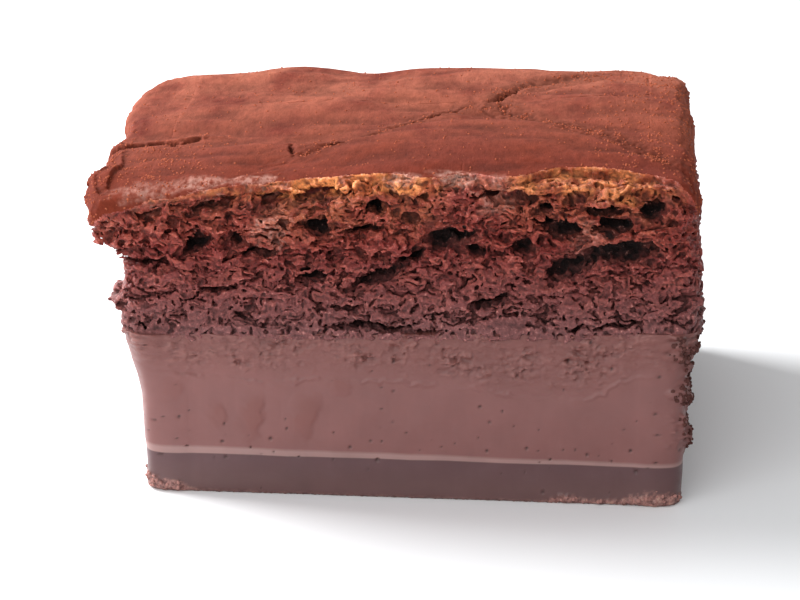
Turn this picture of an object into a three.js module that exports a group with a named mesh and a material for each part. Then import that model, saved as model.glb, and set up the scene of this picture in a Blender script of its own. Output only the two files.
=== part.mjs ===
// A square of chocolate magic cake: one batter that bakes into stacked layers. From the bottom
// they are a dense flan base, a thin pale seam, set custard, and an airy sponge under a crinkled
// crust. Each layer is one closed solid that runs through the whole cake.
// Millimetres, +Z up. The cake stands on z = 0 with the middle of its box on the Z axis.
import * as THREE from "three";

// Footprint on the plate. The front of the cake looks along -Y.
const footWidth = 62;
const footDepth = 62;
const footCorner = 2.2; // radius of the corners on the plate
// Radii of the crust's corners: the front ones are cut, the back ones baked round
const crustCorners = { frontRight: 2.8, backRight: 11, backLeft: 11, frontLeft: 2.6 };

// Heights of the layers above the plate
const baseTop = 4.8;
const seamThickLeft = 0.95; // the seam thins from the left side to the right side
const seamThickRight = 0.45;
const custardTop = 20.2;
const custardTilt = 1.9; // how much higher the custard reaches at the right
const crustTop = 36.4;
const crustTilt = 2.0; // how much higher the crust is at the right
const domeRise = 1.0;
const baseUneven = 0.12; // how far the faces between layers stray from flat
const custardUneven = 0.35;

// How far each side leans out past the footprint: [height, overhang]
const overhangs = {
  left: [[0, 0], [9, 0.5], [18, 2.0], [22, 4.1], [25.5, 2.8], [28, 3], [30.5, 6.6], [37, 6.9]],
  right: [[0, 0], [14, 0.1], [19.5, 0.4], [22.5, 2.2], [27, 1.7], [33, 1.3], [38, 0.6]],
  front: [[0, 0], [18, 0.4], [24, 1.0], [29, 0.4], [34, 1.3], [38, 1.0]],
  back: [[0, 0], [18, 0.7], [24, 1.6], [29, 1.2], [34, 2.2], [38, 1.4]],
};
// Radius of the crust's edge over each side
const shoulders = { left: 1.7, right: 2.2, front: 1.0, back: 3.6 };

// Cut faces wander by this much: little in custard, more in torn sponge
const cutWander = 0.12;
const tornWander = 0.55;
const wanderFade = 3; // height over which the one turns into the other

// Pillows of the crinkled crust: where they lie, their half sizes, turn and rise.
// Creases form where two of them meet.
const pillows = [
  { x: 8, y: -22, long: 31, wide: 22, turn: 6, rise: 2.5 },
  { x: 24, y: 4, long: 22, wide: 15, turn: 96, rise: 1.5 },
  { x: -25, y: -20, long: 17, wide: 15, turn: 30, rise: 1.1 },
  { x: -19, y: 3, long: 21, wide: 12, turn: -8, rise: 1.3 },
  { x: 2, y: 19, long: 22, wide: 14, turn: 12, rise: 1.4 },
  { x: -23, y: 22, long: 15, wide: 12, turn: 40, rise: 1.0 },
];

// How finely the solids are divided
const cornerSteps = 4;
const sideSteps = 16;
const seamShares = [0.66, 0.33]; // rings of a hidden face between layers, as shares of its rim
const heightPasses = 12; // passes that settle a wall point's height, since the wall leans
const crownInsets = [0.35, 0.9, 1.7, 2.8, 4.4, 6.6, 9, 11.5, 14, 16.5, 19, 21.5, 24, 26.5];

const lerp = THREE.MathUtils.lerp;

// Height-dependent value read from a list of [height, value], eased between its entries
function profile(keys, z) {
  const next = keys.findIndex(([height]) => height > z);
  if (next === 0) return keys[0][1];
  if (next < 0) return keys[keys.length - 1][1];
  const [lowHeight, lowValue] = keys[next - 1];
  const [highHeight, highValue] = keys[next];
  return lerp(lowValue, highValue, THREE.MathUtils.smoothstep(z, lowHeight, highHeight));
}

// Slow irregular waves of about -1 to 1, the same for the same place
function waves(x, y, z) {
  return (
    0.5 * Math.sin(0.31 * x + 0.17 * z + 1.3) * Math.cos(0.27 * y - 0.11 * z) +
    0.3 * Math.sin(0.83 * x - 0.61 * y + 0.9 * z + 0.4) +
    0.2 * Math.sin(1.37 * x + 1.21 * y - 1.6 * z + 2.1)
  );
}

// The cake's outline at a height: points with their outward directions, anticlockwise from above
function outline(z) {
  const left = -footWidth / 2 - profile(overhangs.left, z);
  const right = footWidth / 2 + profile(overhangs.right, z);
  const front = -footDepth / 2 - profile(overhangs.front, z);
  const back = footDepth / 2 + profile(overhangs.back, z);
  const rounding = THREE.MathUtils.smoothstep(z, custardTop, crustTop);
  const corners = [
    [right, front, -90, crustCorners.frontRight],
    [right, back, 0, crustCorners.backRight],
    [left, back, 90, crustCorners.backLeft],
    [left, front, 180, crustCorners.frontLeft],
  ].map(([x, y, startAngle, crustRadius]) => {
    const r = lerp(footCorner, crustRadius, rounding);
    return { x: x - Math.sign(x) * r, y: y - Math.sign(y) * r, r, startAngle };
  });
  const points = [];
  corners.forEach(({ x, y, r, startAngle }, i) => {
    for (let step = 0; step <= cornerSteps; step++) {
      const angle = THREE.MathUtils.degToRad(startAngle + (90 * step) / cornerSteps);
      const [nx, ny] = [Math.cos(angle), Math.sin(angle)];
      points.push({ x: x + r * nx, y: y + r * ny, nx, ny });
    }
    const { x: fromX, y: fromY, nx, ny } = points[points.length - 1];
    const next = corners[(i + 1) % corners.length];
    for (let step = 1; step < sideSteps; step++) {
      const share = step / sideSteps;
      points.push({
        x: lerp(fromX, next.x + next.r * nx, share),
        y: lerp(fromY, next.y + next.r * ny, share),
        nx,
        ny,
      });
    }
  });
  const torn = THREE.MathUtils.smoothstep(z, custardTop, custardTop + wanderFade);
  const amount = z > 0 ? lerp(cutWander, tornWander, torn) : 0;
  return points.map(({ x, y, nx, ny }) => {
    const shift = amount * waves(x, y, z);
    return { x: x + shift * nx, y: y + shift * ny, nx, ny };
  });
}
const loopLength = outline(0).length;

// Share of the way from the left side of the footprint to its right side
const acrossShare = (x) => x / footWidth + 0.5;

// Heights of the faces between layers
const plateFace = () => 0;
const baseFace = (x, y) => baseTop + baseUneven * waves(0.6 * x, 0.6 * y, 0);
const seamFace = (x, y) => baseFace(x, y) + lerp(seamThickLeft, seamThickRight, acrossShare(x));
const custardFace = (x, y) =>
  custardTop + custardTilt * (acrossShare(x) - 0.5) + custardUneven * waves(x, y, 3);

// Height of the crust away from its edges
function crustFace(x, y) {
  const tilt = crustTilt * (acrossShare(x) - 0.5);
  const dome = domeRise * (1 - (x / footWidth) ** 2 * 4) * (1 - (y / footDepth) ** 2 * 4);
  const swell = pillows.map((pillow) => {
    const turn = THREE.MathUtils.degToRad(pillow.turn);
    const [dx, dy] = [x - pillow.x, y - pillow.y];
    const along = (dx * Math.cos(turn) + dy * Math.sin(turn)) / pillow.long;
    const across = (dy * Math.cos(turn) - dx * Math.sin(turn)) / pillow.wide;
    return pillow.rise * (1 - along * along - across * across);
  });
  return crustTop + tilt + dome + Math.max(0, ...swell);
}

// How far the crust's rounded edge lies below the crust, at an inset from the rim
function shoulderDrop(inset, { nx, ny }) {
  const sideways = nx < 0 ? shoulders.left : shoulders.right;
  const lengthways = ny < 0 ? shoulders.front : shoulders.back;
  const radius = sideways * nx * nx + lengthways * ny * ny;
  const reach = Math.max(0, 1 - inset / radius);
  return radius * (1 - Math.sqrt(1 - reach * reach));
}

// Height at which the sponge's wall meets the rounded edge of the crust
const rimFace = (x, y, rim) => crustFace(x, y) - (rim ? shoulderDrop(0, rim) : 0);

// The loop of the wall at a share of the way between two faces
function wallLoop(lower, upper, share) {
  const points = [];
  for (let i = 0; i < loopLength; i++) {
    let z = 0.5 * (lower(0, 0) + upper(0, 0));
    let point;
    for (let pass = 0; pass < heightPasses; pass++) {
      point = outline(z)[i];
      z = lerp(lower(point.x, point.y, point), upper(point.x, point.y, point), share);
    }
    points.push({ ...point, z });
  }
  return points;
}

// The rings of a face between layers, from its rim towards its middle
function hiddenRings(face, rim) {
  return seamShares.map((share) =>
    rim.map(({ x, y }) => ({ x: x * share, y: y * share, z: face(x * share, y * share) })),
  );
}

// The rings of the crust, close together over its rounded edge
function crownRings(rim) {
  return crownInsets.map((inset) => {
    const share = 1 - inset / (footWidth / 2);
    return rim.map((point) => {
      const [x, y] = [point.x * share, point.y * share];
      return { x, y, z: crustFace(x, y) - shoulderDrop(inset, point) };
    });
  });
}

// A closed solid from the rings of its underside, the loops of its wall and the rings of its top,
// each in order from the bottom up. Both faces of a seam divide their quads along the same lines,
// so that one layer rests on the next without a gap or an overlap.
function solid(name, { under, wall, over, bottomZ, topZ }, { color, roughness }) {
  const loops = [...under, ...wall, ...over];
  const vertices = [[0, 0, bottomZ]];
  loops.forEach((loop) => loop.forEach(({ x, y, z }) => vertices.push([x, y, z])));
  vertices.push([0, 0, topZ]);
  const at = (loop, i) => 1 + loop * loopLength + (i % loopLength);
  const faces = [];
  for (let i = 0; i < loopLength; i++) {
    faces.push(0, at(0, i + 1), at(0, i));
    for (let loop = 0; loop + 1 < loops.length; loop++) {
      const [a, b] = [at(loop, i), at(loop, i + 1)];
      const [c, d] = [at(loop + 1, i + 1), at(loop + 1, i)];
      faces.push(...(loop < under.length ? [a, b, d, b, c, d] : [a, b, c, a, c, d]));
    }
    faces.push(at(loops.length - 1, i), at(loops.length - 1, i + 1), vertices.length - 1);
  }
  const geometry = new THREE.BufferGeometry();
  geometry.setAttribute("position", new THREE.Float32BufferAttribute(vertices.flat(), 3));
  geometry.setIndex(faces);
  geometry.computeVertexNormals();
  const mesh = new THREE.Mesh(geometry, new THREE.MeshStandardMaterial({ color, roughness }));
  mesh.name = name;
  return mesh;
}

// A layer whose wall rises from one face to another in the given number of bands. The rings of
// its top are those of a hidden face unless it has others, as the sponge has those of the crust.
function layer(name, lower, upper, bands, look, topRings = (rim) => hiddenRings(upper, rim)) {
  const wall = [];
  for (let band = 0; band <= bands; band++) wall.push(wallLoop(lower, upper, band / bands));
  const under = hiddenRings(lower, wall[0]).reverse();
  const over = topRings(wall[bands]);
  return solid(name, { under, wall, over, bottomZ: lower(0, 0), topZ: upper(0, 0) }, look);
}

const cake = new THREE.Group();
cake.add(
  layer("base_layer", plateFace, baseFace, 2, { color: 0x664a4b, roughness: 0.45 }),
  layer("pale_seam", baseFace, seamFace, 1, { color: 0x9c7c79, roughness: 0.5 }),
  layer("custard_layer", seamFace, custardFace, 5, { color: 0x88605d, roughness: 0.45 }),
  layer("sponge_layer", custardFace, rimFace, 9, { color: 0x5f3531, roughness: 0.85 }, crownRings),
);

// The middle of the cake's box goes onto the Z axis
const box = new THREE.Box3().setFromObject(cake);
const middle = box.getCenter(new THREE.Vector3());
cake.position.set(-middle.x, -middle.y, 0);

export default cake;
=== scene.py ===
# A square of chocolate magic cake: flan base, pale seam, set custard and a torn, airy sponge under
# a crinkled crust that is dusted with cocoa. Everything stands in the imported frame, in metres;
# the sizes in the dictionaries are millimetres, from the middle of the cake and from the plate up.
import math
from functools import partial

import bmesh
import bpy
from mathutils import Matrix, Vector
from mathutils.bvhtree import BVHTree
from mathutils.kdtree import KDTree


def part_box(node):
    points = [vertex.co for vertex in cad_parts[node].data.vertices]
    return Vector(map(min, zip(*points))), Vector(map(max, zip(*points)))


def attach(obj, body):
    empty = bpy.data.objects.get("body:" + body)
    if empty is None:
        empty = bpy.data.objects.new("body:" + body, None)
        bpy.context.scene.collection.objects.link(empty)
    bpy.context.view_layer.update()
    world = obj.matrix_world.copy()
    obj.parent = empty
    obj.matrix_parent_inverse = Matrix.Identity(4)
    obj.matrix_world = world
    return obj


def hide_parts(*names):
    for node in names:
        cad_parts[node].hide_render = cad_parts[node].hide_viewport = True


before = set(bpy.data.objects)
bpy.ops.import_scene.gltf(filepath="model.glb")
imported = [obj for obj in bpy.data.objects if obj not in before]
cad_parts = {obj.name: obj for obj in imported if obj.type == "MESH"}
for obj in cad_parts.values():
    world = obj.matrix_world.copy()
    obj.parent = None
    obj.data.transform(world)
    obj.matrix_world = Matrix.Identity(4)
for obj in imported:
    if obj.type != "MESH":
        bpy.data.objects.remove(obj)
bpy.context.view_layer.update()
print("frame loaded:", sorted(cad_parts))

mm = 0.001
scene = bpy.context.scene
layerNames = ["base_layer", "pale_seam", "custard_layer", "sponge_layer"]
lows = {name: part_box(name)[0] / mm for name in layerNames}
highs = {name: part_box(name)[1] / mm for name in layerNames}
foot = {
    "left": lows["base_layer"].x,
    "right": highs["base_layer"].x,
    "front": lows["base_layer"].y,
    "back": highs["base_layer"].y,
}
crown = {
    "left": lows["sponge_layer"].x,
    "right": highs["sponge_layer"].x,
    "front": lows["sponge_layer"].y,
    "back": highs["sponge_layer"].y,
    "top": highs["sponge_layer"].z,
}


def linearColour(hexCode):
    channels = [int(hexCode[i : i + 2], 16) / 255 for i in (1, 3, 5)]
    linear = [c / 12.92 if c <= 0.04045 else ((c + 0.055) / 1.055) ** 2.4 for c in channels]
    return (*linear, 1)


vectorNode = "ShaderNodeVectorMath"
noiseNode = "ShaderNodeTexNoise"
cellNode = "ShaderNodeTexVoronoi"
splitNode = "ShaderNodeSeparateXYZ"
joinNode = "ShaderNodeCombineXYZ"
rangeNode = "ShaderNodeMapRange"  # its inputs in order: value, from min, from max, to min, to max
infoNode = "GeometryNodeObjectInfo"
nearNode = "GeometryNodeProximity"
changeNode = "GeometryNodeTransform"
noiseMiddle = (0.5, 0.5, 0.5)
soft = {"interpolation_type": "SMOOTHSTEP"}


# Adds a node, of a kind or for an operation of the math node. inputs holds sockets, nodes or plain
# values, by the socket's name or number, or in order
def addNode(tree, kind, inputs=(), **settings):
    if kind.isupper():
        kind, settings["operation"] = "ShaderNodeMath", kind
    node = tree.nodes.new(kind)
    for name, value in settings.items():
        setattr(node, name, value)
    for key, value in inputs.items() if isinstance(inputs, dict) else enumerate(inputs):
        if isinstance(value, bpy.types.Node):
            value = value.outputs[0]
        if isinstance(value, bpy.types.NodeSocket):
            tree.links.new(value, node.inputs[key])
        else:
            node.inputs[key].default_value = value
    return node


# A geometry tree with named inputs, given as name: (socket type, default), and what adds nodes to it
def newTree(name, sockets):
    tree = bpy.data.node_groups.new(name, "GeometryNodeTree")
    shape = {"Geometry": ("Geometry", None)}
    for way, labels in (("INPUT", {**shape, **sockets}), ("OUTPUT", shape)):
        for label, (kind, default) in labels.items():
            socket = tree.interface.new_socket(label, in_out=way, socket_type="NodeSocket" + kind)
            if default is not None:
                socket.default_value = default
    return tree, partial(addNode, tree), tree.nodes.new("NodeGroupInput").outputs


# Ends a tree that works in millimetres; finishes are materials with the places that get them
def endTree(add, mesh, *finishes):
    mesh = add(changeNode, {"Geometry": mesh, "Scale": (mm,) * 3})
    mesh = add("GeometryNodeRealizeInstances", [mesh])
    for material, where in finishes:
        mesh = add("GeometryNodeSetMaterial", {"Geometry": mesh, "Selection": where, "Material": material})
    add("NodeGroupOutput", [mesh])


# Reads marks that an earlier tree left on the points
def readMarks(add, labels):
    kind = "GeometryNodeInputNamedAttribute"
    return {label: add(kind, {"Name": label}, data_type="FLOAT") for label in labels}


# Leaves marks on the points, for the materials and for later trees
def leaveMarks(add, mesh, marks):
    for label, value in marks.items():
        mesh = add("GeometryNodeStoreNamedAttribute", {"Geometry": mesh, "Name": label, "Value": value})
    return mesh


def newObject(name, mesh):
    piece = bpy.data.objects.new(name, mesh)
    scene.collection.objects.link(piece)
    return piece


# Runs a tree on an object and leaves its result as a plain mesh
def growMesh(piece, tree, values):
    modifier = piece.modifiers.new(tree.name, "NODES")
    modifier.node_group = tree
    for item in tree.interface.items_tree:
        if item.in_out == "INPUT" and item.name in values:
            modifier[item.identifier] = values[item.name]
    depsgraph = bpy.context.evaluated_depsgraph_get()
    mesh = bpy.data.meshes.new_from_object(piece.evaluated_get(depsgraph), depsgraph=depsgraph)
    piece.modifiers.remove(modifier)
    oldMesh = piece.data
    piece.data = mesh
    bpy.data.meshes.remove(oldMesh)
    mesh.name = piece.name
    return piece


# Smooth shading, with sharp edges from an angle in degrees
def finished(piece, sharpFrom=None):
    piece.data.shade_smooth()
    if sharpFrom:
        piece.data.set_sharp_from_angle(angle=math.radians(sharpFrom))
    print(piece.name, sum(len(face.vertices) - 2 for face in piece.data.polygons), "triangles")
    return piece


# A material, what adds nodes to it, and Object coordinates in millimetres
def newMaterial(name):
    material = bpy.data.materials.new(name)
    material.use_nodes = True
    material.node_tree.nodes.clear()
    add = partial(addNode, material.node_tree)
    place = add("ShaderNodeTexCoord").outputs["Object"]
    return material, add, add(vectorNode, {0: place, "Scale": 1 / mm}, operation="SCALE")


# Ends a material
def shade(add, values):
    add("ShaderNodeOutputMaterial", {"Surface": add("ShaderNodeBsdfPrincipled", values)})


# Paints colours over one another, each by its share
def painted(add, colour, layers):
    for share, over in layers:
        colour = add("ShaderNodeMix", {0: share, 6: colour, 7: over}, data_type="RGBA").outputs[2]
    return colour


# Reads the marks on the points, for a material
def colourMarks(add, labels):
    return {label: add("ShaderNodeAttribute", attribute_name=label).outputs["Fac"] for label in labels}


# The four CAD solids merged, without the faces where two of them meet, and the loops on the walls
# where one layer ends and the next begins
def outerForm():
    shape = bmesh.new()
    for number, name in enumerate(layerNames):
        first = len(shape.faces)
        shape.from_mesh(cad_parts[name].data)
        shape.faces.ensure_lookup_table()
        for face in shape.faces[first:]:
            face.material_index = number
    near = 0.002 * mm  # faces and points this close count as one
    centres = KDTree(len(shape.faces))
    for i, face in enumerate(shape.faces):
        centres.insert(face.calc_center_median(), i)
    centres.balance()
    hidden = [face for face in shape.faces if len(centres.find_range(face.calc_center_median(), near)) > 1]
    bmesh.ops.delete(shape, geom=hidden, context="FACES")
    bmesh.ops.remove_doubles(shape, verts=shape.verts, dist=near)
    bmesh.ops.recalc_face_normals(shape, faces=shape.faces)
    shape.verts.index_update()
    openEdges = sum(1 for edge in shape.edges if len(edge.link_faces) != 2)
    loops = [{} for _ in layerNames]
    for edge in shape.edges:
        lower, upper = sorted(face.material_index for face in edge.link_faces)
        if lower != upper:
            loops[lower].update({vert.index: vert.co / mm for vert in edge.verts})
    print("outer form:", len(shape.faces), "faces,", openEdges, "open edges")
    mesh = bpy.data.meshes.new("outerForm")
    shape.to_mesh(mesh)
    bvh = BVHTree.FromBMesh(shape)
    shape.free()
    return mesh, bvh, [list(loop.values()) for loop in loops]


formMesh, formTree, layerLoops = outerForm()
outerGuide = newObject("outerForm", formMesh)


# Only the walls of that form, which tell how far a place lies behind them
def wallForm():
    shape = bmesh.new()
    shape.from_mesh(formMesh)
    upright = 0.75  # faces that look further up or down than this aren't walls
    flat = [face for face in shape.faces if abs(face.normal.z) > upright]
    bmesh.ops.delete(shape, geom=flat, context="FACES")
    mesh = bpy.data.meshes.new("wallForm")
    shape.to_mesh(mesh)
    shape.free()
    return mesh


wallGuide = newObject("wallForm", wallForm())


# Gives the height of a layer's loop at a place on the wall
def heightFinder(points):
    tree = KDTree(len(points))
    for i, point in enumerate(points):
        tree.insert((point.x, point.y, 0), i)
    tree.balance()

    def heightAt(x, y):
        (_, i, toFirst), (_, j, toSecond) = tree.find_n((x, y, 0), 2)
        return (points[i].z * toSecond + points[j].z * toFirst) / (toFirst + toSecond)

    return heightAt


loopHeights = [heightFinder(points) for points in layerLoops[:3]]
rimSpan = 25
rimLeft, rimRight = (loopHeights[2](x, foot["front"]) for x in (-rimSpan, rimSpan))
custardRim = {"middle": (rimLeft + rimRight) / 2, "slope": (rimRight - rimLeft) / (2 * rimSpan)}

# Where the rays that find the walls start, how close together they are, and over how many of them to
# either side the walls are smoothed
rays = {"inset": 5.0, "frontStep": 0.17, "sideStep": 0.3, "cornerRays": 30, "smooth": 9, "lowest": 0.05}


# The columns of the walls, anticlockwise from the back left corner: start, way and place along the
# wall, which on the front face is the same as x
def wallColumns():
    inset = rays["inset"]
    left, right = foot["left"] + inset, foot["right"] - inset
    front, back = foot["front"] + inset, foot["back"] - inset
    corners = [(left, back), (left, front), (right, front), (right, back)]
    cornerRun = inset * math.pi / 2
    along = left - (back - front) - cornerRun
    columns = []
    for number, start in enumerate(corners):
        end = corners[(number + 1) % 4]
        turn = 180 + 90 * number
        length = math.dist(start, end)
        count = round(length / (rays["frontStep"] if number == 1 else rays["sideStep"]))
        for i in range(count):
            share = i / count
            place = tuple(a + (b - a) * share for a, b in zip(start, end))
            columns.append((place, turn, along + length * share))
        along += length
        for i in range(rays["cornerRays"]):
            share = i / rays["cornerRays"]
            columns.append((end, turn + 90 * share, along + cornerRun * share))
        along += cornerRun
    result = []
    for place, turn, run in columns:
        way = Vector((math.cos(math.radians(turn)), math.sin(math.radians(turn)), 0))
        result.append((place, way, run))
    return result


columns = wallColumns()


def wallReach(column, z):
    start = Vector((*column[0], max(z, rays["lowest"]))) * mm
    return formTree.ray_cast(start, column[1])[3] / mm


# The rim of the crust as a closed line: over the top of the wall, a little in from its face
rim = {"wallHeight": 34, "inset": 0.6, "everyColumn": 6}


def rimPoints():
    points = []
    for column in columns[:: rim["everyColumn"]]:
        reach = wallReach(column, rim["wallHeight"]) - rim["inset"]
        x, y = (column[0][i] + column[1][i] * reach for i in (0, 1))
        top = formTree.ray_cast(Vector((x, y, 2 * crown["top"])) * mm, Vector((0, 0, -1)))[0]
        points.append((x, y, top.z / mm))
    return points


def lineObject(name, lines, closed=False):
    mesh = bpy.data.meshes.new(name)
    points = [point for line in lines for point in line]
    edges = []
    first = 0
    for line in lines:
        edges += [(first + i, first + i + 1) for i in range(len(line) - 1)]
        if closed:
            edges.append((first + len(line) - 1, first))
        first += len(line)
    mesh.from_pydata(points, edges, [])
    return newObject(name, mesh)


rimLine = lineObject("rimLine", [rimPoints()], closed=True)

crumbLook = {
    "crumb": "#782923",  # lumps of the crumb
    "lit": "#a04b3f",  # looser, lighter ones
    "paintedGlint": "#c99085",  # painted highlights that stand in for moist glints
    "pressed": "#714342",  # the dense crumb over the custard
    "golden": "#e28b50",  # toasted comb under the crust
    "amber": "#9c4a24",  # its darker parts
    "film": "#a8654f",  # thin skin over the crumb
    "pale": "#cfa698",  # its palest streaks
    "deep": "#1c0807",  # painted shade on the walls of its holes
}


# Torn chocolate sponge: moist, reddish brown lumps with painted glints and painted light on its bumps,
# painted shade down its holes and in its dents, and toasted to gold where the crust is torn off
def makeTornCrumb():
    material, add, place = newMaterial("tornChocolateSponge")
    look = {key: linearColour(code) for key, code in crumbLook.items()}
    marks = colourMarks(add, ("dented", "hollow", "dense", "golden", "film"))
    patches = add(noiseNode, {"Vector": place, "Scale": 0.55, "Detail": 4})
    grains = add(noiseNode, {"Vector": place, "Scale": 2.6, "Detail": 4, "Roughness": 0.7})
    streaks = add(noiseNode, {"Vector": place, "Scale": 1.6, "Detail": 4, "Roughness": 0.65})
    toast = painted(add, look["amber"], [(add(rangeNode, [patches, 0.42, 0.58]), look["golden"])])
    skin = painted(add, look["film"], [(add(rangeNode, [streaks, 0.46, 0.64]), look["pale"])])
    flattened = add(vectorNode, [place, (1, 1, 2.2)], operation="MULTIPLY")
    lumps = add(cellNode, {"Vector": flattened, "Scale": 0.8}).outputs["Color"]
    lit = add(rangeNode, [add("ShaderNodeSeparateColor", [lumps]), 0.45, 1.0])
    # Painted highlights: light specks on the crumb's ridges stand in for moist glints
    paintedGlints = add(rangeNode, [grains, 0.58, 0.74, 0, 0.6])
    raised = add(rangeNode, [marks["dented"], 0.55, 0.35])
    layers = [(lit, look["lit"]), (marks["dense"], look["pressed"]), (marks["golden"], toast)]
    # Painted shade: the crumb is painted darker the further down its holes it lies
    layers += [(marks["film"], skin), (marks["hollow"], look["deep"])]
    layers.append((add("MULTIPLY", [paintedGlints, raised]), look["paintedGlint"]))
    colour = painted(add, look["crumb"], layers)
    # Painted shade and light: the tone varies at random, and is darker in the crumb's dents and lighter on
    # its bumps
    tone = add(rangeNode, [grains, 0.3, 0.7, 0.6, 1.4])
    tone = add("MULTIPLY", [tone, add(rangeNode, [marks["dented"], 0.3, 0.8, 1.22, 0.4])])
    gloss = add(rangeNode, [grains, 0.35, 0.65, 0.6, 0.32])
    values = {
        "Base Color": add(vectorNode, {0: colour, "Scale": tone}, operation="SCALE"),
        "Roughness": add("MULTIPLY_ADD", [marks["hollow"], 0.4, gloss]),
        "Normal": add("ShaderNodeBump", {"Height": grains, "Strength": 1.0, "Distance": 0.45 * mm}),
        "Specular IOR Level": 0.35,
        "Subsurface Weight": 0.12,
        "Subsurface Radius": (1.0, 0.35, 0.25),
        "Subsurface Scale": 0.5 * mm,
    }
    shade(add, values)
    return material


crustLook = {
    "cocoa": "#723021",  # dry cocoa powder
    "thick": "#9e5b48",  # painted light: lighter towards the back, where the lamp grazes it
    "soaked": "#6d2f25",  # where the crust has soaked it up
    "shade": "#3a150e",  # along the folds
    "worn": "#a36657",  # where the powder has come off the front edge
    "bare": "#c69a8d",  # its palest streaks
    # painted shade down the slits
    "crack": "#1c0807",
}


# Baked crust dusted with cocoa: matt and powdery, with soaked patches of a greyer brown; painted light
# makes it lighter towards the back, and painted shade darkens its folds, slits and dents
def makeCocoaCrust():
    material, add, place = newMaterial("cocoaDustedCrust")
    look = {key: linearColour(code) for key, code in crustLook.items()}
    marks = colourMarks(add, ("crease", "crack", "film", "dented"))
    place = add(vectorNode, [place, (1, 0.5, 1)], operation="MULTIPLY")
    patches = add(noiseNode, {"Vector": place, "Scale": 0.13, "Detail": 5, "Roughness": 0.6})
    powder = add(noiseNode, {"Vector": place, "Scale": 2.0, "Detail": 4, "Roughness": 0.75})
    dimples = add(noiseNode, {"Vector": place, "Scale": 0.8, "Detail": 3})
    streaks = add(noiseNode, {"Vector": place, "Scale": 1.3, "Detail": 4, "Roughness": 0.65})
    # Painted light: the crust is painted lighter towards the back
    paintedBackLight = add("MULTIPLY_ADD", [patches, 15.0, add(splitNode, [place]).outputs[1]])
    offFolds = add("SUBTRACT", [1.0, marks["crease"]])
    soaked = add("MULTIPLY", [add(rangeNode, [patches, 0.4, 0.7]), offFolds])
    worn = painted(add, look["worn"], [(add(rangeNode, [streaks, 0.42, 0.7]), look["bare"])])
    layers = [
        (add(rangeNode, [paintedBackLight, -7, 17]), look["thick"]),
        (soaked, look["soaked"]),
        (add("MULTIPLY", [marks["crease"], 0.4]), look["shade"]),
        (marks["crack"], look["crack"]),
        (add("MULTIPLY", [add(rangeNode, [streaks, 0.3, 0.52]), marks["film"]]), worn),
    ]
    colour = painted(add, look["cocoa"], layers)
    tone = add(rangeNode, [add("ADD", [powder, dimples]), 0.7, 1.3, 0.76, 1.24])
    # Painted shade: the crust is painted darker in its dents, slits and between its granules
    tone = add("MULTIPLY", [tone, add(rangeNode, [marks["dented"], 0.4, 0.75, 1.05, 0.72])])
    height = add("MULTIPLY_ADD", [dimples, 0.8, powder])
    values = {
        "Base Color": add(vectorNode, {0: colour, "Scale": tone}, operation="SCALE"),
        "Normal": add("ShaderNodeBump", {"Height": height, "Strength": 0.8, "Distance": 0.2 * mm}),
        "Roughness": 0.85,
        "Diffuse Roughness": 0.8,
        "Specular IOR Level": 0.05,
    }
    shade(add, values)
    return material


# Loose bits, dry and matt: cocoa that has balled together, baked flan, or sponge that the knife took along
def makeCrumbs(name, code):
    material, add, _ = newMaterial(name)
    shade(add, {"Base Color": linearColour(code), "Roughness": 0.85, "Specular IOR Level": 0.1})
    return material


custardLook = {
    "body": "#744a47",
    "mottled": "#6b3e39",
    "spongeLike": "#6c3d38",  # right under the sponge
    "pale": "#8c6c68",  # the thin layer that set between flan and custard
    "base": "#54383a",
    "baseLow": "#5a3e3d",
    "skin": "#946962",  # browned underside and edge
    "skinGapShade": "#5e3935",  # painted shade in the gaps between its crumbs
    "skinPale": "#b88f7f",  # and their dry tips
    # painted shade in the pits and the lumps' dents
    "pit": "#3f2523",
    "raised": "#96665f",  # painted highlights on the tops of the small lumps
    "smear": "#6e3e38",  # warmer places that the knife dragged up
}
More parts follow.
